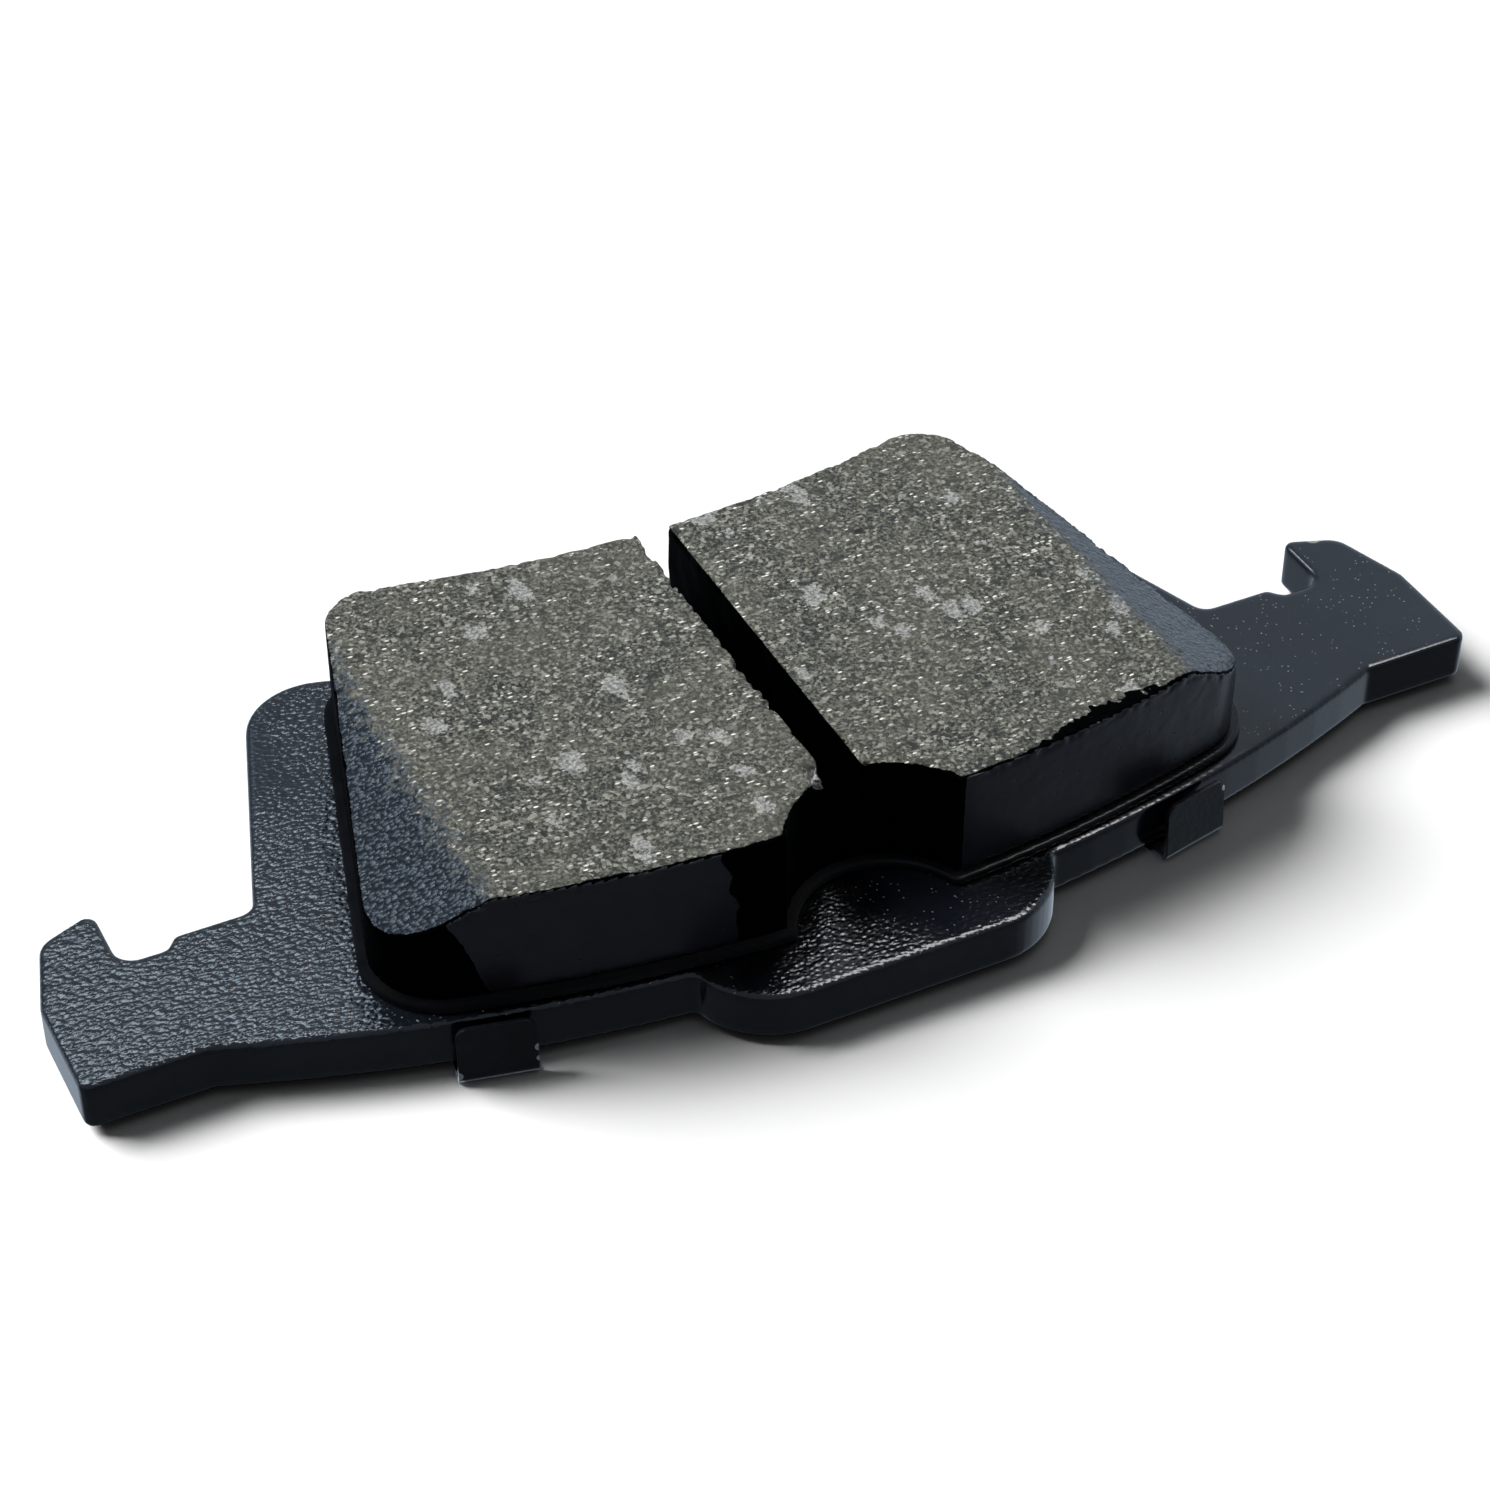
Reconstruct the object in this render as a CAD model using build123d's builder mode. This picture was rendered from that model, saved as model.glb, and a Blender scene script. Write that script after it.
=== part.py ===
from build123d import *
import os
from math import degrees, radians, tan

# A disc brake pad, lying on its anti-squeal shim with the friction face up.
# X runs along the pad, +Y points towards the disc's axis and +Z towards the disc's face.
# Outlines are drawn in pad coordinates, whose y = 0 is the straight outer edge of the ears and
# whose z = 0 is the back of the shim. The origin of the part is below the middle of its box.

# ---------------------------------------------------------------- driving dimensions, mm
PAD_CENTRE_Y = 11.88            # middle of the pad's height, above the ears' outer edge
DISC_AXIS_Y = 130.5             # axis of the brake disc, above the ears' outer edge

SHIM_SHEET = 0.4                # thickness of the shim's outer steel sheet
SHIM_CORE = 0.15                # rubber between the two steel sheets
SHIM_INNER = 0.2                # inner steel sheet
PLATE_THICKNESS = 4.2
UNDERLAYER = 0.8
PAD_THICKNESS = 15.1            # shim, plate and new friction material together

PLATE_OUTER_R = 140.0           # edge on the outside of the disc
PLATE_INNER_R = 97.0            # edge nearest the disc's axis
PLATE_EDGE_ROUND = 0.35         # stamped roll-over on the friction side
PLATE_BACK_BREAK = 0.2          # broken edge on the back

LOBE_HALF_WIDTH = 15.8          # lobe in the middle of the outer edge
LOBE_FRONT_Y = -14.3
LOBE_CORNER_R = 7.2
LOBE_ROOT_R = 0.8

EAR_HALF_LENGTH = 61.5
EAR_START_X = 51.5              # where the outer arc meets the ear's straight edge
EAR_END_TOP_Y = 9.9
EAR_CORNER_R = 0.9
RAIL_Y = 13.1                   # inner edge of the ear
RAIL_END_X = 49.7
HOOK_FACE_X = 54.5              # face of the hook that looks at the pad's middle
HOOK_TIP_Y = 18.6
HOOK_BACK = (59.4, 16.7)        # outer corner of the hook before rounding
HOOK_TIP_R = 0.9
HOOK_BACK_R = 2.2
RELIEF_FLOOR_Y = 11.9           # relief at the root of the hook
RELIEF_START_X = 50.7
RELIEF_R = 1.7
RAIL_LIP_R = 0.8
SHOULDER_ROOT_X = 43.3
SHOULDER_ROOT_R = 1.4
SHOULDER_TOP = (34.2, 39.75)    # shoulder corner before rounding
SHOULDER_R = 6.3

MOULD_HOLE_R = 3.5              # holes in the plate that the compound is pressed into
MOULD_HOLE_ORBIT = 119.0        # their distance from the disc's axis
MOULD_HOLE_ANGLES = (-13.0, -5.5, 5.5, 13.0)

PAD_END_ANGLE = 16.5            # each end of the friction block points at the disc's axis
FRICTION_INNER_R = 98.5
FRICTION_OUTER_R = 130.0        # its own, slightly tighter arc
FRICTION_OUTER_Y = -8.3
FRICTION_INNER_CORNER_R = 4.6
FRICTION_OUTER_CORNER_R = 6.0
CHAMFER_START_X = 30.3          # both chamfers are parallel to Y
CHAMFER_ANGLE = 29.0
SLOT_WIDTH = 2.8
SLOT_DEPTH = 7.8
RECESS_R = 7.9                  # half-round recess over the lobe
RECESS_CENTRE_Y = -10.8
LIP_WIDTH = 0.8                 # the underlayer stands this far out round the friction block

SHIM_OUTER_R = 138.2
SHIM_INNER_R = 99.0
SHIM_END_ANGLE = 17.2
SHIM_CORNER_R = 5.0
OUTER_TAB_ANGLES = (-12.9, 12.0)    # left and right tab, from the middle of the pad
INNER_TAB_ANGLES = (-8.5, 8.5)
TAB_WIDTH = 6.2
TAB_BEND_R = 0.6                # at the middle of the sheet
TAB_CORNER_R = 0.9
OUTER_TAB_TOP = 5.4             # height above the back of the shim
OUTER_TAB_STAND_OFF = 1.85      # middle of the tab's root, outside the plate's edge
OUTER_TAB_LEAN = 0.35           # how far the tab's top leans back towards the plate
INNER_TAB_TOP = 4.2
INNER_TAB_STAND_OFF = 0.75
INNER_TAB_LEAN = 0.4
TAB_RELIEF_R = 0.7              # notches in the shim on both sides of each tab's root

# ---------------------------------------------------------------- derived levels
CORE_Z = SHIM_SHEET
INNER_Z = CORE_Z + SHIM_CORE
PLATE_Z = INNER_Z + SHIM_INNER
UNDERLAYER_Z = PLATE_Z + PLATE_THICKNESS
FRICTION_Z = UNDERLAYER_Z + UNDERLAYER
FRICTION_HEIGHT = PAD_THICKNESS - FRICTION_Z

DISC_AXIS = Axis((0, DISC_AXIS_Y - PAD_CENTRE_Y, 0), (0, 0, 1))
DISC_CENTRE = (0, DISC_AXIS_Y)
FACE_DOWN = -90.0               # direction from the disc's axis to the middle of the pad


def level(z):
    """Sketch plane at height z, with its origin on the ears' outer edge line."""
    return Plane((0, -PAD_CENTRE_Y, z))


def sector(outer_r, inner_r, half_angle, outer_centre=DISC_CENTRE):
    """Face between two arcs, with ends on lines through the disc's axis."""
    reach = 2 * outer_r
    end_x = reach * tan(radians(half_angle))
    with BuildSketch() as shape:
        with Locations(outer_centre):
            Circle(outer_r)
        with Locations(DISC_CENTRE):
            Circle(inner_r, mode=Mode.SUBTRACT)
        with BuildLine():
            Polyline(DISC_CENTRE, (end_x, DISC_AXIS_Y - reach), (-end_x, DISC_AXIS_Y - reach), close=True)
        make_face(mode=Mode.INTERSECT)
    return shape.sketch


# ---------------------------------------------------------------- outlines
with BuildSketch() as friction_outline:
    add(sector(FRICTION_OUTER_R, FRICTION_INNER_R, PAD_END_ANGLE, (0, FRICTION_OUTER_Y + FRICTION_OUTER_R)))
    fillet(friction_outline.vertices().group_by(Axis.Y)[-1], FRICTION_INNER_CORNER_R)
    fillet(friction_outline.vertices().group_by(Axis.X)[0], FRICTION_OUTER_CORNER_R)
    fillet(friction_outline.vertices().group_by(Axis.X)[-1], FRICTION_OUTER_CORNER_R)
    with Locations((0, RECESS_CENTRE_Y)):
        Circle(RECESS_R, mode=Mode.SUBTRACT)

with BuildSketch() as shim_outline:
    add(sector(SHIM_OUTER_R, SHIM_INNER_R, SHIM_END_ANGLE))
    fillet(shim_outline.vertices(), SHIM_CORNER_R)
    for edge_r, tab_angles in ((SHIM_OUTER_R, OUTER_TAB_ANGLES), (SHIM_INNER_R, INNER_TAB_ANGLES)):
        relief_angle = degrees((TAB_WIDTH / 2 + TAB_RELIEF_R) / edge_r)
        for tab_angle in tab_angles:
            for side in (-1, 1):
                with Locations(DISC_CENTRE):
                    with PolarLocations(edge_r, 1, start_angle=FACE_DOWN + tab_angle + side * relief_angle):
                        Circle(TAB_RELIEF_R, mode=Mode.SUBTRACT)

with BuildSketch() as plate_outline:
    with BuildLine() as half_edge:
        outer_arc = RadiusArc((0, DISC_AXIS_Y - PLATE_OUTER_R), (EAR_START_X, 0), -PLATE_OUTER_R)
        ear = FilletPolyline(
            (EAR_START_X, 0),
            (EAR_HALF_LENGTH, 0),
            (EAR_HALF_LENGTH, EAR_END_TOP_Y),
            HOOK_BACK,
            (HOOK_FACE_X, HOOK_TIP_Y),
            (HOOK_FACE_X, RELIEF_FLOOR_Y),
            (RELIEF_START_X, RELIEF_FLOOR_Y),
            (RAIL_END_X, RAIL_Y),
            (SHOULDER_ROOT_X, RAIL_Y),
            SHOULDER_TOP,
            radius=[EAR_CORNER_R, HOOK_BACK_R, HOOK_BACK_R, HOOK_TIP_R, RELIEF_R, RAIL_LIP_R, RAIL_LIP_R,
                    SHOULDER_ROOT_R],
        )
        inner_arc = RadiusArc(SHOULDER_TOP, (0, DISC_AXIS_Y - PLATE_INNER_R), PLATE_INNER_R)
        Line(inner_arc @ 1, outer_arc @ 0)
    make_face()
    mirror(about=Plane.YZ)
    fillet(plate_outline.vertices().group_by(Axis.Y)[-1], SHOULDER_R)
    with Locations((0, LOBE_FRONT_Y + LOBE_HALF_WIDTH)):
        RectangleRounded(2 * LOBE_HALF_WIDTH, 2 * LOBE_HALF_WIDTH, LOBE_CORNER_R)
    lobe_roots = plate_outline.vertices().filter_by(lambda v: abs(abs(v.X) - LOBE_HALF_WIDTH) < LOBE_ROOT_R)
    fillet(lobe_roots, LOBE_ROOT_R)

# ---------------------------------------------------------------- backing plate
with BuildPart() as backing_plate:
    with BuildSketch(level(PLATE_Z)):
        add(plate_outline.sketch)
    extrude(amount=PLATE_THICKNESS)
    fillet(backing_plate.faces().sort_by(Axis.Z)[-1].outer_wire().edges(), PLATE_EDGE_ROUND)
    chamfer(backing_plate.faces().sort_by(Axis.Z)[0].outer_wire().edges(), PLATE_BACK_BREAK)
    with BuildSketch(level(PLATE_Z)):
        for angle in MOULD_HOLE_ANGLES:
            with Locations(DISC_CENTRE):
                with PolarLocations(MOULD_HOLE_ORBIT, 1, start_angle=FACE_DOWN + angle):
                    Circle(MOULD_HOLE_R)
    extrude(amount=PLATE_THICKNESS, mode=Mode.SUBTRACT)

# ---------------------------------------------------------------- underlayer, with plugs in the holes
with BuildPart() as underlayer:
    with BuildSketch(level(UNDERLAYER_Z)):
        add(friction_outline.sketch)
        offset(amount=LIP_WIDTH)
    extrude(amount=UNDERLAYER)
    with BuildSketch(level(PLATE_Z)):
        for angle in MOULD_HOLE_ANGLES:
            with Locations(DISC_CENTRE):
                with PolarLocations(MOULD_HOLE_ORBIT, 1, start_angle=FACE_DOWN + angle):
                    Circle(MOULD_HOLE_R)
    extrude(amount=PLATE_THICKNESS)

# ---------------------------------------------------------------- friction block
with BuildPart() as friction_block:
    with BuildSketch(level(FRICTION_Z)):
        add(friction_outline.sketch)
    extrude(amount=FRICTION_HEIGHT)
    chamfer_run = EAR_HALF_LENGTH - CHAMFER_START_X
    chamfer_drop = chamfer_run * tan(radians(CHAMFER_ANGLE))
    with BuildSketch(Plane.XZ):
        with BuildLine():
            Polyline(
                (CHAMFER_START_X, PAD_THICKNESS),
                (EAR_HALF_LENGTH, PAD_THICKNESS),
                (EAR_HALF_LENGTH, PAD_THICKNESS - chamfer_drop),
                close=True,
            )
        make_face()
        mirror(about=Plane.YZ)
    extrude(amount=EAR_HALF_LENGTH, both=True, mode=Mode.SUBTRACT)
    with BuildSketch(level(PAD_THICKNESS)):
        Rectangle(SLOT_WIDTH, 2 * EAR_HALF_LENGTH)
    extrude(amount=-SLOT_DEPTH, mode=Mode.SUBTRACT)


# ---------------------------------------------------------------- anti-squeal shim
def folded_tab(plate_r, sheet_r, outward, stand_off, lean, top):
    """A tab of the shim at the middle of the pad; outward is 1 on the outer edge and -1 on the inner one."""
    axis_y = DISC_AXIS_Y - PAD_CENTRE_Y
    sheet_y = axis_y - sheet_r + outward * TAB_RELIEF_R
    fold_y = axis_y - plate_r - outward * stand_off
    with BuildPart() as tab:
        with BuildSketch(Plane.YZ):
            with BuildLine():
                FilletPolyline(
                    (sheet_y, SHIM_SHEET / 2),
                    (fold_y, SHIM_SHEET / 2),
                    (fold_y + outward * lean, top),
                    radius=TAB_BEND_R,
                )
            trace(line_width=SHIM_SHEET)
        extrude(amount=TAB_WIDTH / 2, both=True)
        across_sheet = tab.edges().filter_by(lambda e: abs(e.length - SHIM_SHEET) < SHIM_SHEET / 10)
        fillet(across_sheet.group_by(Axis.Z)[-1], TAB_CORNER_R)
    return tab.part


outer_tab = folded_tab(PLATE_OUTER_R, SHIM_OUTER_R, 1, OUTER_TAB_STAND_OFF, OUTER_TAB_LEAN, OUTER_TAB_TOP)
inner_tab = folded_tab(PLATE_INNER_R, SHIM_INNER_R, -1, INNER_TAB_STAND_OFF, INNER_TAB_LEAN, INNER_TAB_TOP)

with BuildPart() as shim_outer_sheet:
    with BuildSketch(level(0)):
        add(shim_outline.sketch)
    extrude(amount=SHIM_SHEET)
    for angle in OUTER_TAB_ANGLES:
        add(outer_tab.rotate(DISC_AXIS, angle))
    for angle in INNER_TAB_ANGLES:
        add(inner_tab.rotate(DISC_AXIS, angle))

with BuildPart() as shim_damping_core:
    with BuildSketch(level(CORE_Z)):
        add(shim_outline.sketch)
    extrude(amount=SHIM_CORE)

with BuildPart() as shim_inner_sheet:
    with BuildSketch(level(INNER_Z)):
        add(shim_outline.sketch)
    extrude(amount=SHIM_INNER)

# ---------------------------------------------------------------- one STEP file for each piece
os.makedirs("parts", exist_ok=True)
pieces = {
    "backing_plate": backing_plate,
    "underlayer": underlayer,
    "friction_block": friction_block,
    "shim_outer_sheet": shim_outer_sheet,
    "shim_damping_core": shim_damping_core,
    "shim_inner_sheet": shim_inner_sheet,
}
for name, piece in pieces.items():
    piece.part.label = name
    export_step(piece.part, f"parts/{name}.step")
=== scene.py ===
"""Looks of the brake pad: dense meshes grown from the CAD pieces, painted and weathered.

Shapes and materials are given in millimetres in the part's own frame; the studio is given in metres.
The shift of a noise only picks another stretch of the same noise, so that two patterns don't agree.
"""

import math

import bmesh
import bpy
import numpy as np
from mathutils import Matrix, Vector, kdtree, noise


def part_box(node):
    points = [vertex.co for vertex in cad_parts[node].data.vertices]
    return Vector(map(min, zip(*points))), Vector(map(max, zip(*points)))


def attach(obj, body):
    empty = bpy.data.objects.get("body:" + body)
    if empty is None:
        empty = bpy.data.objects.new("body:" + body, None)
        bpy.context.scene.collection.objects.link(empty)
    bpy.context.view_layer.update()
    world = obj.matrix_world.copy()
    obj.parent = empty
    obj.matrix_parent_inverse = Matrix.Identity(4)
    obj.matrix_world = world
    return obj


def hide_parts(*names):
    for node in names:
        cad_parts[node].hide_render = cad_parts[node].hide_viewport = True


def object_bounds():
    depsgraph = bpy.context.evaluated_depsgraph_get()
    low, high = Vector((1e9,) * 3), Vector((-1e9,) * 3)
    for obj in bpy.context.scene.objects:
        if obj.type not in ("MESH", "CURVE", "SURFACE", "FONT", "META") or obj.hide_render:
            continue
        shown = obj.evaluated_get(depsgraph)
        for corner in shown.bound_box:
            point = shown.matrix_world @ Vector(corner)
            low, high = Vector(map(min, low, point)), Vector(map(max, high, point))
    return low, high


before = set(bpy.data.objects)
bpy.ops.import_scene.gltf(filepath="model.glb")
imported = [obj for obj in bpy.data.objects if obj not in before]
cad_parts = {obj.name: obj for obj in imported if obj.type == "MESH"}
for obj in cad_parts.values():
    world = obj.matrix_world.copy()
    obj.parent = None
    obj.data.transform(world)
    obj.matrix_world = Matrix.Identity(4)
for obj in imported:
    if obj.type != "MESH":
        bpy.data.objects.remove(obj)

CAD_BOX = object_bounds()
FLOOR_Z = CAD_BOX[0][2]
MM = 0.001

# ---------------------------------------------------------------- shapes, mm

# The pad's own lines
PLATE_LOW, PLATE_HIGH = (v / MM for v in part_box("backing_plate"))
FRICTION_LOW, FRICTION_HIGH = (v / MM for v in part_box("friction_block"))
UNDERLAYER_LOW, UNDERLAYER_HIGH = (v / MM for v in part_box("underlayer"))
FRICTION_TOP = FRICTION_HIGH.z
EAR_EDGE_Y = -11.88
CHAMFER_START_X = 30.3
SLOT_HALF_WIDTH = 1.4
RECESS_CENTRE_Y = EAR_EDGE_Y - 10.8
RECESS_R = 7.9
FRICTION_ARC_CENTRE_Y = EAR_EDGE_Y + 121.7
FRICTION_ARC_R = 130.0

# How fine the meshes are
PLATE_VOXEL = 0.2
FRICTION_VOXEL = 0.18
UNDERLAYER_VOXEL = 0.2
RIM_POINT_STEP = 0.2

# Relief of the plate's paint: its depth, and where it runs out smoother
PAINT_WAVE_DEPTH = 0.009
PAINT_HILL_DEPTH = 0.012
RIGHT_EAR_X = (16, 34)
RIGHT_EAR_SMOOTHING = 0.90
SHOULDER_X = (30, 38)
SHOULDER_Y = (8, 18)
SHOULDER_SMOOTHING = 0.75
LOBE_SIDE_X = (-24, -14)
LOBE_SIDE_SMOOTHING = 0.50
NICK = (57.3, 5.6, PLATE_HIGH.z)
NICK_REACH = (0.2, 1.1)

# Relief of the underlayer, and where along X its lip turns from matt to glossy
LIP_LUMP_DEPTH = 0.035
LIP_WAVE_DEPTH = 0.06
LIP_GLOSS_X = (-8, 14)

# Relief of the friction block
RIM_ANGLE = 0.9
RIM_REACH = 4.6
FACE_REACH = 5
RIM_CRUMBLE = 0.28
SLOT_CRUMBLE = 0.32
CRUMBLE_WIDTH = (0.1, 0.9)
FINE_GRAIN_DEPTH = 0.020
MIDDLE_GRAIN_DEPTH = 0.018
CHAMFER_DEPTH = 0.035
PIT_DEPTH = 0.16
WALL_COARSE_DEPTH = 0.016
WALL_MIDDLE_DEPTH = 0.012
CUT_WALL_DEPTH = 0.10
SLOT_END_Y = -24
CHIP = (-1.6, RECESS_CENTRE_Y + RECESS_R + 0.2, FRICTION_TOP)
CHIP_DEPTH = 0.8
CHIP_REACH = (0.5, 1.9)
CHIP_LIGHT_R = 1.4
CHIP_RAW_R = 1.5
# Within this reach of the chip the painted shade is left out
CHIP_UNSHADED_R = 1.6

# Light flakes in the compound
FLAKE_SEED = 11
FLAKE_COUNT = 44
FLAKE_X = (-29, 32)
FLAKE_Y = (-18, 22)
FLAKE_SIZE = (0.35, 1.5)
FLAKE_CORNERS = 7
FLAKE_SQUEEZE = 0.75
FAR_FROM_FLAKES = -3.0

# Black paint on the friction block, and the painted shade at its near left corner
SPILL_X = 21.5
SPILL_WIDTH = 4.5
SPILL_REACH = 1.5
HEM_REACH = 0.40
HEM_WANDER = 0.25
NEAR_EDGE = (-4.5, -0.5)
# Painted shade at the near left corner: where it fades in along -X, how its edge leans with height, and the
# height it leans from
CORNER_X = (30.4, 31.2)
CORNER_SLANT = 0.37
CORNER_Z = 6

# Shim sheets: how far their sheared edges are broken
OUTER_SHEET_BREAK = 0.07
CORE_BREAK = 0.02
INNER_SHEET_BREAK = 0.03
BREAK_ANGLE = math.radians(35)

# Places on the shim's outer tabs where the coating is gone: centre and reach
BARE_SPOTS = (
    ((-34.7, -18.8, 1.0), 0.50),
    ((-34.6, -18.9, 0.2), 0.45),
    ((-28.6, -20.3, 2.7), 0.35),
    ((-28.6, -20.3, 1.6), 0.30),
    ((32.5, -19.4, 4.6), 0.30),
)

# ---------------------------------------------------------------- colours, linear

PAINT = ((0.0024, 0.0031, 0.0050), (0.0046, 0.0060, 0.0092))
# Light grey of the dust nibs, also painted sparkle standing in for glints
DUST_AND_SPARKLE = (0.15, 0.16, 0.17)
BARE_PLATE = (0.36, 0.32, 0.26)
LIP = ((0.0012, 0.0012, 0.0015), (0.0035, 0.0035, 0.0045))
GRAIN = ((0.003, 0.003, 0.002), (0.170, 0.171, 0.141))
STREAK = (0.020, 0.021, 0.017)
LIGHT_CLUMP = (0.30, 0.30, 0.265)
DARK_CLUMP = (0.008, 0.008, 0.007)
BINDER = (0.110, 0.107, 0.086)
METAL_SPECK = (0.80, 0.79, 0.73)
FLAKE = ((0.10, 0.102, 0.095), (0.42, 0.42, 0.40))
SLATE_SPRAY = ((0.003, 0.005, 0.008), (0.045, 0.057, 0.073))
WALL_PAINT = ((0.0042, 0.0039, 0.0075), (0.0080, 0.0075, 0.0135))
PINHOLE = (0.0008, 0.0008, 0.001)
# Near black of the painted shade, also used for the black paint on the top
SHADE_AND_TOP_PAINT = (0.0010, 0.0012, 0.0011)
COATING = ((0.0020, 0.0022, 0.0032), (0.0040, 0.0045, 0.0062))
WORN_COATING = (0.03, 0.03, 0.032)
BARE_SHEET = (0.62, 0.62, 0.60)
RUBBER = ((0.006, 0.006, 0.006), (0.018, 0.018, 0.018))
ROLLED_STEEL = ((0.20, 0.205, 0.21), (0.38, 0.385, 0.39))
FLOOR_PAPER = ((0.75, 0.75, 0.75), (0.77, 0.77, 0.77))
FLOOR_SHADE = ((0.004, 0.004, 0.004), (0.008, 0.008, 0.008))

# ---------------------------------------------------------------- studio, m

FLOOR_SIZE = 6.0
FLOOR_GAP = 0.00005
SHADE_GAP = 0.00004

# Radiance of the sky: dark and bright side, above and below the horizon, and what matt surfaces get
SKY_ABOVE = (0.42, 1.1)
SKY_BELOW = (0.13, 0.75)
SKY_AMBIENT = 0.03
SKY_WHITE = (1, 1, 1, 1)
SKY_BLUE = (0.70, 0.84, 1.0, 1)

# Softboxes: name, place, aim, width and height, watts, colour, seen in gloss, lights matt surfaces
LIGHTS = (
    ("key", (-0.96, 1.07, 1.42), (0, 0, 0), (1.15, 1.15), 92.0, (1, 1, 1), False, True),
    ("overhead", (0.0, 0.0, 1.3), (0, 0, 0), (1.6, 1.6), 1.0, (1, 1, 1), False, True),
    ("back_glow", (-0.128, 0.4385, 0.468), (-0.05, 0, 0), (0.42, 0.24), 0.36, (0.60, 0.80, 1.0), True, False),
    ("back_strip", (-0.10, 0.377, 0.519), (-0.05, 0, 0), (0.40, 0.10), 1.10, (0.78, 0.90, 1.0), True, False),
    ("top_strip", (0.42, 0.12, 0.82), (0, 0, 0), (0.90, 0.16), 5.0, (1, 1, 1), True, False),
)

CAMERA_AZIMUTH = math.radians(-26.37)
CAMERA_ELEVATION = math.radians(39.60)
CAMERA_DISTANCE = 0.28959
CAMERA_AIM = Vector((0, -0.01188, 0.00075))
CAMERA_LEFT = 0.006363
CAMERA_UP = 0.010878
CAMERA_SENSOR = 36.0
CAMERA_LENS = 86.906
CAMERA_CLIP = 0.01


# ---------------------------------------------------------------- mesh tools


def welded(node):
    """The CAD node's mesh with its split vertices joined again."""
    shape = bmesh.new()
    shape.from_mesh(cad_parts[node].data)
    bmesh.ops.remove_doubles(shape, verts=shape.verts, dist=1e-7)
    return shape


def remeshed(node, voxel):
    """A new object with the CAD node's shape in even quads, one voxel across."""
    shape = welded(node)
    coarse = bpy.data.meshes.new(node + "_coarse")
    shape.to_mesh(coarse)
    shape.free()
    source = bpy.data.objects.new(node + "_source", coarse)
    bpy.context.scene.collection.objects.link(source)
    voxels = source.modifiers.new("voxels", "REMESH")
    voxels.mode = "VOXEL"
    voxels.voxel_size = voxel * MM
    depsgraph = bpy.context.evaluated_depsgraph_get()
    dense = bpy.data.meshes.new_from_object(source.evaluated_get(depsgraph))
    bpy.data.objects.remove(source)
    bpy.data.meshes.remove(coarse)
    dense.name = node + "_skin"
    piece = bpy.data.objects.new(node + "_skin", dense)
    bpy.context.scene.collection.objects.link(piece)
    return piece


def vertex_arrays(mesh):
    """Positions in millimetres and unit normals of every vertex."""
    count = len(mesh.vertices)
    places = np.empty(count * 3)
    mesh.vertices.foreach_get("co", places)
    normals = np.empty(count * 3)
    mesh.vertex_normals.foreach_get("vector", normals)
    return places.reshape(-1, 3) / MM, normals.reshape(-1, 3)


def write_places(piece, places, low, high):
    """Sets the vertices, kept inside the CAD piece's box, and shades the mesh smooth."""
    inside = np.clip(places, np.array(low), np.array(high)) * MM
    piece.data.vertices.foreach_set("co", inside.ravel())
    piece.data.polygons.foreach_set("use_smooth", [True] * len(piece.data.polygons))
    piece.data.update()


def write_field(piece, name, values):
    """Stores one number per vertex for the material to read."""
    layer = piece.data.attributes.new(name, "FLOAT", "POINT")
    layer.data.foreach_set("value", np.asarray(values, np.float32))


def smooth_noise(places, wavelength, shift, stretch=(1, 1, 1)):
    """Perlin noise from about -1 to 1 at every place, with the given wavelength along X, Y and Z."""
    scaled = places / (wavelength * np.array(stretch)) + shift
    return np.array([noise.noise(p) for p in scaled.tolist()])


def ramp(values, start, end):
    """0 before start, 1 after end, easing in between."""
    t = np.clip((values - start) / (end - start), 0, 1)
    return t * t * (3 - 2 * t)


def neighbours_mean(mesh, values, rounds):
    """Averages values over each vertex's neighbours a few times."""
    edges = np.empty(len(mesh.edges) * 2, np.int64)
    mesh.edges.foreach_get("vertices", edges)
    a, b = edges.reshape(-1, 2).T
    count = np.bincount(a, minlength=len(values)) + np.bincount(b, minlength=len(values))
    result = values.copy()
    for _ in range(rounds):
        total = np.zeros_like(result)
        for axis in range(result.shape[1]):
            total[:, axis] = np.bincount(a, result[b, axis], len(values))
            total[:, axis] += np.bincount(b, result[a, axis], len(values))
        result = 0.5 * result + 0.5 * total / count[:, None]
    return result


def distance_to(points, places, reach):
    """Distance in millimetres from each place to the nearest of the points, up to reach."""
    tree = kdtree.KDTree(len(points))
    for i, p in enumerate(points):
        tree.insert(p, i)
    tree.balance()
    found = np.array([tree.find(p)[2] for p in places.tolist()])
    return np.minimum(found, reach)


def sharp_edge_points(node, min_angle, lowest):
    """Points close together along the CAD node's sharp edges that lie above a height."""
    shape = welded(node)
    points = []
    for edge in shape.edges:
        if edge.calc_face_angle(0) < min_angle:
            continue
        a, b = (v.co / MM for v in edge.verts)
        if min(a.z, b.z) <= lowest:
            continue
        steps = max(1, int((b - a).length / RIM_POINT_STEP))
        points += [a.lerp(b, i / steps) for i in range(steps + 1)]
    shape.free()
    return points


# ---------------------------------------------------------------- material tools


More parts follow.
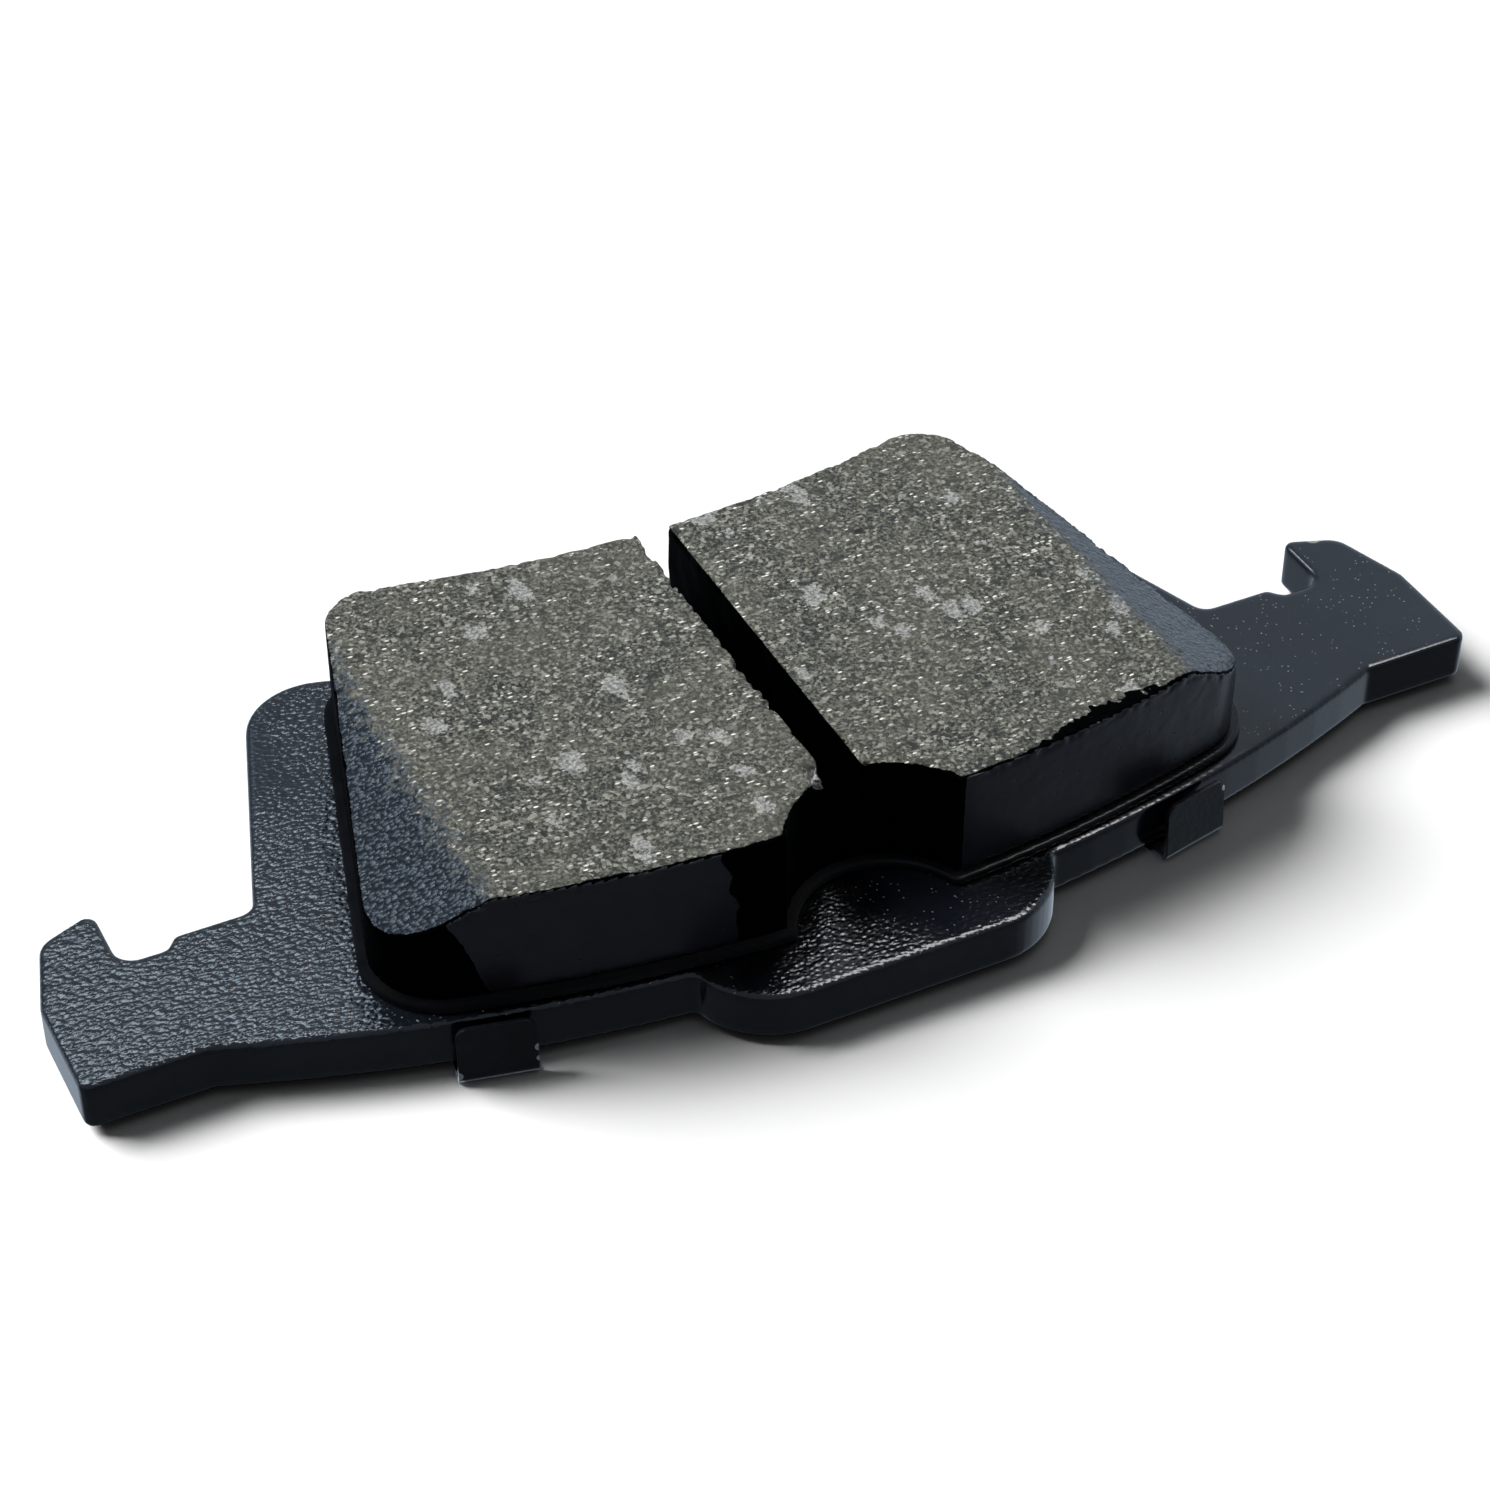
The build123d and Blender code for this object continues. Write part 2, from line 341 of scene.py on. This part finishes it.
class Graph:
    """Short names for the nodes that the materials are built from, with pattern sizes in millimetres."""

    def __init__(self, name):
        self.material = bpy.data.materials.new(name)
        self.material.use_nodes = True
        self.tree = self.material.node_tree
        self.shader = self.tree.nodes["Principled BSDF"]
        self.place = self.tree.nodes.new("ShaderNodeTexCoord").outputs["Object"]

    def node(self, kind, inputs=(), **settings):
        made = self.tree.nodes.new("ShaderNode" + kind)
        for key, value in settings.items():
            setattr(made, key, value)
        for key, value in dict(inputs).items():
            self.feed(made.inputs[key], value)
        return made

    def feed(self, socket, value):
        if isinstance(value, bpy.types.NodeSocket):
            self.tree.links.new(value, socket)
        else:
            socket.default_value = value

    def field(self, name):
        return self.node("Attribute", attribute_name=name).outputs["Fac"]

    def noise(self, size, detail=2.0, roughness=0.5, stretch=(1, 1, 1), shift=0.0):
        place = self.node("Mapping", {"Vector": self.place, "Scale": [1 / s for s in stretch],
                                      "Location": (shift, shift, shift)}).outputs["Vector"]
        made = self.node("TexNoise", {"Vector": place, "Scale": 1 / (size * MM), "Detail": detail,
                                      "Roughness": roughness})
        return made.outputs["Fac"]

    def cells(self, size, output="Distance"):
        made = self.node("TexVoronoi", {"Vector": self.place, "Scale": 1 / (size * MM)})
        return made.outputs[output]

    def leather(self, size, stretch, shift):
        """Low domes of the given size packed like the grain of leather, a little longer along X."""
        wander = self.noise(2.5 * size, detail=1.0, shift=shift)
        wander = self.node("VectorMath", {0: wander, 1: (0.5 * size * MM,) * 3}, operation="MULTIPLY")
        bent = self.node("VectorMath", {0: self.place, 1: wander.outputs[0]}, operation="ADD")
        place = self.node("Mapping", {"Vector": bent.outputs[0], "Scale": (1 / stretch, 1, 1),
                                      "Location": (shift, shift, shift)}).outputs["Vector"]
        domes = self.node("TexVoronoi", {"Vector": place, "Scale": 1 / (size * MM), "Smoothness": 0.55},
                          feature="SMOOTH_F1")
        return self.math("SUBTRACT", 1.0, domes.outputs["Distance"])

    def math(self, operation, a, b):
        return self.node("Math", {0: a, 1: b}, operation=operation).outputs[0]

    def times(self, a, b):
        return self.math("MULTIPLY", a, b)

    def plus(self, a, b):
        return self.math("ADD", a, b)

    def about_zero(self, pattern, swing):
        """A pattern from 0 to 1 made to swing evenly about 0."""
        return self.times(self.math("SUBTRACT", pattern, 0.5), swing)

    def between(self, value, low, high):
        """0 at low, 1 at high, easing in between; low may be the larger."""
        made = self.node("MapRange", {"Value": value, "From Min": low, "From Max": high},
                         interpolation_type="SMOOTHSTEP")
        return made.outputs["Result"]

    def mix(self, factor, a, b):
        made = self.node("Mix", data_type="RGBA")
        self.feed(made.inputs[0], factor)
        self.feed(made.inputs[6], a if isinstance(a, bpy.types.NodeSocket) else (*a, 1))
        self.feed(made.inputs[7], b if isinstance(b, bpy.types.NodeSocket) else (*b, 1))
        return made.outputs[2]

    def blend(self, factor, a, b):
        made = self.node("Mix", data_type="FLOAT")
        self.feed(made.inputs[0], factor)
        self.feed(made.inputs[2], a)
        self.feed(made.inputs[3], b)
        return made.outputs[0]

    def bump(self, height, depth, normal=None):
        """A bump as deep as depth millimetres for a height from 0 to 1."""
        made = self.node("Bump", {"Height": height, "Strength": 1.0, "Distance": depth * MM})
        if normal is not None:
            self.feed(made.inputs["Normal"], normal)
        return made.outputs["Normal"]

    def set(self, **sockets):
        for name, value in sockets.items():
            self.feed(self.shader.inputs[name.replace("_", " ")], value)
        return self.material

    def set_specular(self, level):
        self.shader.inputs["Specular IOR Level"].default_value = level


# ---------------------------------------------------------------- materials


def plate_paint():
    """Black gloss powder coat with a leathery orange peel over the stamped steel plate."""
    g = Graph("plate_paint")
    peel = g.field("peel")
    fine = g.noise(0.40, detail=3.0, roughness=0.55)
    colour = g.mix(g.between(g.noise(9.0), 0.3, 0.7), *PAINT)

    # Light specks on the upward faces: dust nibs in the paint, partly painted sparkle in place of glints
    dust_and_sparkle = g.between(g.cells(0.58), 0.17, 0.08)
    dust_and_sparkle = g.times(dust_and_sparkle, g.between(g.noise(3.0, shift=3.0), 0.40, 0.58))
    dust_and_sparkle = g.times(dust_and_sparkle, g.field("upward"))
    colour = g.mix(g.times(dust_and_sparkle, 0.8), colour, DUST_AND_SPARKLE)
    bare = g.between(g.plus(g.field("bare"), g.about_zero(fine, 0.8)), 0.45, 0.62)
    colour = g.mix(bare, colour, BARE_PLATE)
    roughness = g.blend(g.noise(1.4, detail=3.0, shift=7.0), 0.10, 0.20)

    normal = g.bump(g.times(g.leather(0.38, 1.35, 2.0), peel), 0.070)
    creases = g.noise(0.60, stretch=(1.5, 1, 1), shift=5.0)
    normal = g.bump(g.times(creases, peel), 0.035, normal)
    normal = g.bump(g.times(fine, g.plus(peel, 0.15)), 0.020, normal)
    normal = g.bump(dust_and_sparkle, 0.03, normal)
    return g.set(Base_Color=colour, Roughness=roughness, Normal=normal, Metallic=g.times(bare, 0.8))


def underlayer_compound():
    """The squeezed out lip under the friction block, oversprayed black."""
    g = Graph("underlayer_compound")
    grain = g.noise(0.5, detail=4.0, roughness=0.6)
    colour = g.mix(g.between(g.noise(4.0, shift=5.0), 0.3, 0.7), *LIP)
    roughness = g.blend(g.field("dull"), g.blend(grain, 0.16, 0.34), 1.0)
    g.set_specular(0.2)
    return g.set(Base_Color=colour, Roughness=roughness, Normal=g.bump(grain, 0.02))


def friction_compound():
    """Ground friction compound on top, slate overspray on the chamfers, black paint down the sides."""
    g = Graph("friction_compound")
    grain = g.noise(0.30, detail=4.0, roughness=0.68)
    streak = g.noise(0.9, detail=3.0, roughness=0.6, stretch=(2.2, 1, 1), shift=1.5)
    patch = g.noise(7.0, detail=3.0, shift=4.0)
    clump = g.node("SeparateColor", {"Color": g.cells(0.30, output="Color")}).outputs[0]

    # The ground compound: grains, clumps, bright metal specks and light flakes
    raw = g.mix(g.between(grain, 0.36, 0.68), *GRAIN)
    raw = g.mix(g.between(streak, 0.54, 0.70), raw, STREAK)
    raw = g.mix(g.times(g.between(clump, 0.80, 0.95), 0.75), raw, LIGHT_CLUMP)
    raw = g.mix(g.times(g.between(clump, 0.22, 0.08), 0.85), raw, DARK_CLUMP)
    raw = g.mix(g.times(g.between(patch, 0.38, 0.66), 0.28), raw, BINDER)
    squeezed = g.node("Mapping", {"Vector": g.place, "Scale": (0.45, 1, 1)}).outputs["Vector"]
    glitter = g.node("TexVoronoi", {"Vector": squeezed, "Scale": 1 / (0.23 * MM)})
    sparkle = g.node("SeparateColor", {"Color": glitter.outputs["Color"]}).outputs[1]
    metal = g.times(g.between(sparkle, 0.86, 0.99), g.between(glitter.outputs["Distance"], 0.52, 0.30))
    metal = g.times(metal, g.between(g.noise(1.7, detail=3.0, shift=21.0), 0.36, 0.56))
    raw = g.mix(metal, raw, METAL_SPECK)
    ragged = g.about_zero(g.noise(0.8, detail=4.0, roughness=0.7, shift=9.0), 2.2)
    flake = g.between(g.plus(g.field("flake"), ragged), -0.04, 0.05)
    raw = g.mix(g.times(flake, 0.88), raw, g.mix(g.between(grain, 0.36, 0.66), *FLAKE))

    # Overspray on the chamfers
    leather = g.leather(0.36, 1.25, 6.0)
    mottle = g.about_zero(g.noise(0.9, detail=4.0, roughness=0.7, shift=8.0), 2.0)
    spray = g.between(g.plus(g.field("spray"), mottle), 0.30, 0.85)
    colour = g.mix(spray, raw, g.mix(g.between(leather, 0.45, 0.90), *SLATE_SPRAY))

    # Paint on the walls, and painted shade: the recess, the slot, the near left corner and the end walls are
    # painted near black and matt, as is the black paint on the top
    edge = g.about_zero(g.noise(0.8, detail=4.0, roughness=0.65, shift=12.0), 1.3)
    paint = g.between(g.plus(g.field("paint"), edge), -0.06, 0.06)
    pin = g.between(g.cells(1.5), 0.10, 0.06)
    black = g.mix(g.times(pin, 0.8), g.mix(g.noise(3.0, shift=14.0), *WALL_PAINT), PINHOLE)
    colour = g.mix(paint, colour, black)
    shade_and_top_paint = g.between(g.plus(g.field("shade_and_top_paint"), g.times(edge, 0.5)), 0.42, 0.58)
    colour = g.mix(shade_and_top_paint, colour, SHADE_AND_TOP_PAINT)

    rough = g.blend(grain, 0.62, 0.92)
    for mask, gloss in ((metal, 0.30), (flake, 0.55), (spray, 0.20), (paint, 0.33), (shade_and_top_paint, 1.0)):
        rough = g.blend(mask, rough, gloss)

    unpainted = g.math("SUBTRACT", 1.0, paint)
    bare = g.math("SUBTRACT", 1.0, g.math("MAXIMUM", spray, paint))
    normal = g.bump(g.times(grain, bare), 0.22)
    normal = g.bump(g.times(g.times(leather, spray), unpainted), 0.145, normal)
    wrinkle = g.noise(1.3, detail=3.0, stretch=(1, 1, 0.6), shift=16.0)
    wrinkle = g.times(g.math("SUBTRACT", g.times(wrinkle, 0.5), pin), paint)
    normal = g.bump(wrinkle, 0.045, normal)
    g.set_specular(0.42)
    # Metallic under the painted shade takes away its reflections as well
    return g.set(Base_Color=colour, Roughness=rough, Normal=normal, Metallic=shade_and_top_paint)


def shim_coated_steel():
    """Thin satin black coating on the folded sheet, bare steel where it was sheared."""
    g = Graph("shim_coated_steel")
    grain = g.noise(0.6, detail=3.0, roughness=0.55)
    worn = g.between(g.noise(2.2, detail=4.0, roughness=0.65, shift=3.0), 0.60, 0.72)
    colour = g.mix(g.between(g.noise(5.0, shift=6.0), 0.3, 0.7), *COATING)
    colour = g.mix(g.times(worn, 0.35), colour, WORN_COATING)
    spots = 0.0
    for centre, reach in BARE_SPOTS:
        away = g.node("VectorMath", {0: g.place, 1: [v * MM for v in centre]}, operation="DISTANCE")
        spot = g.between(away.outputs["Value"], 1.25 * reach * MM, 0.75 * reach * MM)
        spots = g.math("MAXIMUM", spots, spot)
    bare = g.between(g.plus(spots, g.about_zero(grain, 0.6)), 0.45, 0.60)
    colour = g.mix(bare, colour, BARE_SHEET)
    roughness = g.blend(bare, g.blend(grain, 0.26, 0.42), 0.32)
    g.set_specular(0.28)
    return g.set(Base_Color=colour, Roughness=roughness, Normal=g.bump(grain, 0.025), Metallic=bare)


def shim_rubber():
    """The thin rubber bonding layer, seen only at its edge."""
    g = Graph("shim_rubber")
    grain = g.noise(0.25, detail=3.0)
    return g.set(Base_Color=g.mix(grain, *RUBBER), Roughness=g.blend(grain, 0.7, 0.9),
                 Normal=g.bump(grain, 0.02))


def shim_inner_steel():
    """Rolled steel sheet with a fine grain along the strip."""
    g = Graph("shim_inner_steel")
    rolled = g.noise(0.3, detail=3.0, stretch=(14, 1, 1))
    return g.set(Base_Color=g.mix(rolled, *ROLLED_STEEL), Roughness=g.blend(rolled, 0.30, 0.48),
                 Metallic=1.0, Normal=g.bump(rolled, 0.01))


# ---------------------------------------------------------------- pieces


def finish_piece(piece, node, material):
    """Paints a piece and ties it to the pad in place of its CAD node."""
    piece.data.materials.clear()
    piece.data.materials.append(material)
    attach(piece, "root")
    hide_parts(node)


def build_plate():
    """The stamped backing plate with its thick, uneven paint."""
    piece = remeshed("backing_plate", PLATE_VOXEL)
    places, normals = vertex_arrays(piece.data)
    places = neighbours_mean(piece.data, places, 2)
    normals = neighbours_mean(piece.data, normals, 2)
    normals /= np.linalg.norm(normals, axis=1)[:, None]
    x, y, _ = places.T
    upward = ramp(normals[:, 2], 0.2, 0.9)
    peel = 1 - RIGHT_EAR_SMOOTHING * ramp(x, *RIGHT_EAR_X)
    peel *= 1 - SHOULDER_SMOOTHING * ramp(y, *SHOULDER_Y) * ramp(-x, *SHOULDER_X)
    peel *= 1 - LOBE_SIDE_SMOOTHING * ramp(x, *LOBE_SIDE_X)
    waves = 0.5 + 0.5 * smooth_noise(places, 0.80, 3.7, (1.7, 1, 1))
    hills = 0.5 + 0.5 * smooth_noise(places, 2.6, 8.1)
    depth = (PAINT_WAVE_DEPTH * waves + PAINT_HILL_DEPTH * hills) * peel * (0.08 + 0.92 * upward)
    places -= normals * depth[:, None]
    write_places(piece, places, PLATE_LOW, PLATE_HIGH)
    write_field(piece, "peel", peel * (0.10 + 0.90 * upward))
    write_field(piece, "upward", upward)
    nick = np.linalg.norm(places - np.array(NICK), axis=1)
    write_field(piece, "bare", 1 - ramp(nick, *NICK_REACH))
    finish_piece(piece, "backing_plate", plate_paint())


def build_underlayer():
    """The bonding underlayer: its lip shows all round the foot of the friction block."""
    piece = remeshed("underlayer", UNDERLAYER_VOXEL)
    places, normals = vertex_arrays(piece.data)
    lumps = 0.5 + 0.5 * smooth_noise(places, 1.6, 5.3)
    waves = 0.5 + 0.5 * smooth_noise(places, 7.0, 1.3)
    places -= normals * (LIP_LUMP_DEPTH * lumps + LIP_WAVE_DEPTH * waves)[:, None]
    write_places(piece, places, UNDERLAYER_LOW, UNDERLAYER_HIGH)
    write_field(piece, "dull", 1 - ramp(places[:, 0], *LIP_GLOSS_X))
    finish_piece(piece, "underlayer", underlayer_compound())


def flake_field(places):
    """Signed distance to the nearest light flake in the compound: positive inside a flake."""
    rng = np.random.RandomState(FLAKE_SEED)
    field = np.full(len(places), FAR_FROM_FLAKES)
    flat = places[:, :2]
    for _ in range(FLAKE_COUNT):
        centre = np.array((rng.uniform(*FLAKE_X), rng.uniform(*FLAKE_Y)))
        length = rng.uniform(*FLAKE_SIZE)
        corners = rng.uniform(0, 0.7, FLAKE_CORNERS)
        corners = corners + np.arange(FLAKE_CORNERS) * 2 * math.pi / FLAKE_CORNERS
        reach = length * rng.uniform(0.65, 1.2, FLAKE_CORNERS)
        away = flat - centre
        near = np.abs(away).max(axis=1) < 4
        inside = np.full(near.sum(), 4.0)
        for corner, far in zip(corners, reach):
            side = np.array((math.cos(corner), FLAKE_SQUEEZE * math.sin(corner)))
            inside = np.minimum(inside, 0.7 * far - away[near] @ side)
        field[near] = np.maximum(field[near], inside)
    return field


def build_friction():
    """The friction block: ground face, crumbled edges, oversprayed chamfers, painted sides."""
    piece = remeshed("friction_block", FRICTION_VOXEL)
    places, normals = vertex_arrays(piece.data)
    x, y, z = places.T
    rim = sharp_edge_points("friction_block", RIM_ANGLE, FRICTION_TOP - RIM_REACH)
    rim_distance = distance_to(rim, places, 5.0)
    upward = normals[:, 2]
    face = ramp(upward, 0.5, 0.85) * (z > FRICTION_TOP - FACE_REACH)
    wall = 1 - ramp(np.abs(upward), 0.3, 0.7)
    recess = np.hypot(x, y - RECESS_CENTRE_Y) - RECESS_R
    chip = np.linalg.norm(places - np.array(CHIP), axis=1)
    coarse = smooth_noise(places, 2.2, 2.9)
    middle = smooth_noise(places, 0.9, 4.1)
    fine = smooth_noise(places, 0.5, 6.3)

    # Crumbled rims, most of all along the slot
    crumble = ramp(0.55 * coarse + 0.55 * middle + 0.3 * fine, -0.15, 0.75)
    near_slot = 1 - ramp(np.abs(np.abs(x) - SLOT_HALF_WIDTH), 0.3, 1.0)
    strength = RIM_CRUMBLE + SLOT_CRUMBLE * near_slot
    depth = crumble * strength * (1 - ramp(rim_distance, *CRUMBLE_WIDTH))

    # Grain and pits of the ground face, grain of the chamfers
    depth += face * (FINE_GRAIN_DEPTH * (1 + fine) + MIDDLE_GRAIN_DEPTH * (1 + middle))
    chamfer = face * ramp(np.abs(x), CHAMFER_START_X - 1, CHAMFER_START_X + 1)
    depth += chamfer * CHAMFER_DEPTH * (1 + smooth_noise(places, 0.7, 15.5, (1.5, 1, 1)))
    pits = ramp(0.6 * smooth_noise(places, 1.3, 11.7) + 0.5 * middle, 0.42, 0.62)
    depth += face * pits * PIT_DEPTH * ramp(CHAMFER_START_X - np.abs(x), -1, 1)

    # Uneven walls, rougher inside the recess and the slot, and one chip at the slot's near end
    inside_cut = np.maximum(1 - ramp(recess, 0.3, 1.5), (np.abs(x) < 2.2) * (y > SLOT_END_Y))
    depth += wall * (WALL_COARSE_DEPTH * (1 + coarse) + WALL_MIDDLE_DEPTH * (1 + middle))
    depth += wall * inside_cut * CUT_WALL_DEPTH * (1 + coarse)
    depth += CHIP_DEPTH * (1 - ramp(chip, *CHIP_REACH))
    normals = neighbours_mean(piece.data, normals, 2)
    moved = places - normals * depth[:, None]
    write_places(piece, moved, FRICTION_LOW, FRICTION_HIGH)

    # Flakes on the ground face, and the chip as light as a flake
    flakes = flake_field(moved)
    light = CHIP_LIGHT_R - chip
    write_field(piece, "flake", np.where(face > 0.5, np.maximum(flakes, light), light))

    # Overspray grows from the start of each chamfer outwards
    drift = 0.8 * smooth_noise(moved, 6.0, 9.9)
    slope = np.abs(x) - CHAMFER_START_X
    write_field(piece, "spray", np.clip(0.5 + (slope + drift + 0.2) / 4.0, 0, 1.2))

    # Paint covers the walls, a hem of the face along the near edge, and a spill on the right block
    down = np.where(face > 0.5, -rim_distance, rim_distance)
    arc = np.hypot(x, y - FRICTION_ARC_CENTRE_Y) - FRICTION_ARC_R
    near_edge = ramp(arc, *NEAR_EDGE)
    spill = near_edge * np.exp(-(((x - SPILL_X) / SPILL_WIDTH) ** 2)) * SPILL_REACH
    hem = near_edge * (HEM_REACH + HEM_WANDER * smooth_noise(moved, 5.0, 13.1))
    ragged = spill * (smooth_noise(moved, 1.1, 17.3) + 1.3 * fine)
    painted = np.clip(down + spill + ragged + hem * (face > 0.5), -3, 3)
    write_field(piece, "paint", np.where(chip < CHIP_RAW_R, -1.0, painted))

    # Painted shade: the recess and the wall left of it, the slot, the near left corner and the end walls are
    # painted near black; on the top the mask follows the black paint of the hem and spill
    wander = 1.5 * coarse
    left_of_recess = 1 - ramp(recess, 3.0 + wander, 6.0 + wander)
    by_recess = np.where(x < 0, left_of_recess, 1 - ramp(recess, 0.2, 0.8)) * ramp(-y, 9, 12)
    in_slot = (np.abs(x) < SLOT_HALF_WIDTH + 0.35).astype(float)
    corner = ramp(0.5 * coarse - x - CORNER_SLANT * (z - CORNER_Z), *CORNER_X) * ramp(-y, 8, 10)
    end_wall = ramp(-normals[:, 0], 0.5, 0.8)
    shade_and_top_paint = np.maximum.reduce([by_recess, in_slot, corner, end_wall]) * (face < 0.5)
    shade_and_top_paint = np.where(face > 0.5, ramp(painted, -0.5, 0.5), shade_and_top_paint)
    write_field(piece, "shade_and_top_paint", shade_and_top_paint * (1 - ramp(CHIP_UNSHADED_R - chip, 0.0, 0.3)))
    finish_piece(piece, "friction_block", friction_compound())


def build_shim_part(node, material, width):
    """A shim sheet with its sheared edges broken."""
    shape = welded(node)
    mesh = bpy.data.meshes.new(node + "_skin")
    shape.to_mesh(mesh)
    shape.free()
    piece = bpy.data.objects.new(node + "_skin", mesh)
    bpy.context.scene.collection.objects.link(piece)
    edges = piece.modifiers.new("edges", "BEVEL")
    edges.width = width * MM
    edges.segments = 2
    edges.limit_method = "ANGLE"
    edges.angle_limit = BREAK_ANGLE
    mesh.polygons.foreach_set("use_smooth", [True] * len(mesh.polygons))
    flat = piece.modifiers.new("normals", "WEIGHTED_NORMAL")
    flat.keep_sharp = True
    finish_piece(piece, node, material)


# ---------------------------------------------------------------- studio


def build_floor():
    """A plain white sheet, far larger than the view."""
    bpy.ops.mesh.primitive_plane_add(size=FLOOR_SIZE, location=(0, 0, FLOOR_Z - FLOOR_GAP))
    floor = bpy.context.object
    floor.name = "floor"
    g = Graph("floor_paper")
    g.set(Base_Color=g.mix(g.noise(30.0), *FLOOR_PAPER), Roughness=0.9)
    floor.data.materials.append(g.material)
    floor.visible_glossy = False


def build_floor_shade():
    """Painted shadow: a dark sheet right under the plate, standing for the floor's shade there, which only
    the gloss sees.
    """
    shade = bpy.data.objects.new("floor_shade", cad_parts["backing_plate"].data.copy())
    for vertex in shade.data.vertices:
        vertex.co.z = FLOOR_Z - SHADE_GAP
    bpy.context.scene.collection.objects.link(shade)
    g = Graph("floor_shade")
    g.set(Base_Color=g.mix(g.noise(5.0), *FLOOR_SHADE), Roughness=1.0)
    shade.data.materials.clear()
    shade.data.materials.append(g.material)
    shade.visible_camera = False
    shade.visible_diffuse = False
    shade.visible_shadow = False


def build_world():
    """The studio as the gloss sees it: bright behind and to the right, dark on the camera's side."""
    world = bpy.data.worlds.new("studio")
    bpy.context.scene.world = world
    world.use_nodes = True
    tree = world.node_tree
    sky = tree.nodes["Background"]
    direction = tree.nodes.new("ShaderNodeTexCoord").outputs["Generated"]

    def gradient(axis, start, end, low, high):
        along = tree.nodes.new("ShaderNodeVectorMath")
        along.operation = "DOT_PRODUCT"
        along.inputs[1].default_value = axis
        tree.links.new(direction, along.inputs[0])
        shade = tree.nodes.new("ShaderNodeMapRange")
        shade.interpolation_type = "SMOOTHSTEP"
        for name, value in (("From Min", start), ("From Max", end), ("To Min", low), ("To Max", high)):
            shade.inputs[name].default_value = value
        tree.links.new(along.outputs["Value"], shade.inputs["Value"])
        return shade.outputs["Result"]

    def blend(factor, a, b):
        mixed = tree.nodes.new("ShaderNodeMix")
        for socket, value in ((mixed.inputs[0], factor), (mixed.inputs[2], a), (mixed.inputs[3], b)):
            if isinstance(value, float):
                socket.default_value = value
            else:
                tree.links.new(value, socket)
        return mixed.outputs[0]

    above = gradient((0.9, 0.4, 0.0), 0.40, 0.95, *SKY_ABOVE)
    below = gradient((0.6, 0.8, 0.0), -0.15, 0.45, *SKY_BELOW)
    horizon = gradient((0.0, 0.0, 1.0), -0.06, 0.02, 0.0, 1.0)
    gloss = tree.nodes.new("ShaderNodeLightPath").outputs["Is Glossy Ray"]
    tree.links.new(blend(gloss, SKY_AMBIENT, blend(horizon, below, above)), sky.inputs["Strength"])
    tint = tree.nodes.new("ShaderNodeMix")
    tint.data_type = "RGBA"
    tint.inputs[6].default_value = SKY_WHITE
    tint.inputs[7].default_value = SKY_BLUE
    tree.links.new(gloss, tint.inputs[0])
    tree.links.new(tint.outputs[2], sky.inputs["Color"])


def add_light(name, place, aim, size, power, colour, glossy, diffuse):
    """A rectangular softbox at place that faces aim."""
    lamp = bpy.data.lights.new(name, "AREA")
    lamp.shape = "RECTANGLE"
    lamp.size, lamp.size_y = size
    lamp.energy = power
    lamp.color = colour
    box = bpy.data.objects.new(name, lamp)
    box.location = place
    box.rotation_euler = (Vector(aim) - Vector(place)).to_track_quat("-Z", "Y").to_euler()
    box.visible_glossy = glossy
    box.visible_diffuse = diffuse
    bpy.context.scene.collection.objects.link(box)


def build_camera():
    """A short telephoto from the front left, looking down on the pad."""
    flat = math.cos(CAMERA_ELEVATION)
    back = Vector((math.sin(CAMERA_AZIMUTH) * flat, -math.cos(CAMERA_AZIMUTH) * flat,
                   math.sin(CAMERA_ELEVATION)))
    right = Vector((0, 0, 1)).cross(back).normalized()
    up = back.cross(right)
    aim = CAMERA_AIM - right * CAMERA_LEFT + up * CAMERA_UP
    lens = bpy.data.cameras.new("camera")
    lens.sensor_width = CAMERA_SENSOR
    lens.lens = CAMERA_LENS
    lens.clip_start = CAMERA_CLIP
    camera = bpy.data.objects.new("camera", lens)
    camera.location = aim + back * CAMERA_DISTANCE
    camera.rotation_euler = back.to_track_quat("Z", "Y").to_euler()
    bpy.context.scene.collection.objects.link(camera)
    bpy.context.scene.camera = camera


build_plate()
build_underlayer()
build_friction()
build_shim_part("shim_outer_sheet", shim_coated_steel(), OUTER_SHEET_BREAK)
build_shim_part("shim_damping_core", shim_rubber(), CORE_BREAK)
build_shim_part("shim_inner_sheet", shim_inner_steel(), INNER_SHEET_BREAK)
build_floor()
build_floor_shade()
build_world()
for light in LIGHTS:
    add_light(*light)
build_camera()
bpy.context.scene.view_settings.view_transform = "Standard"

bpy.context.view_layer.update()
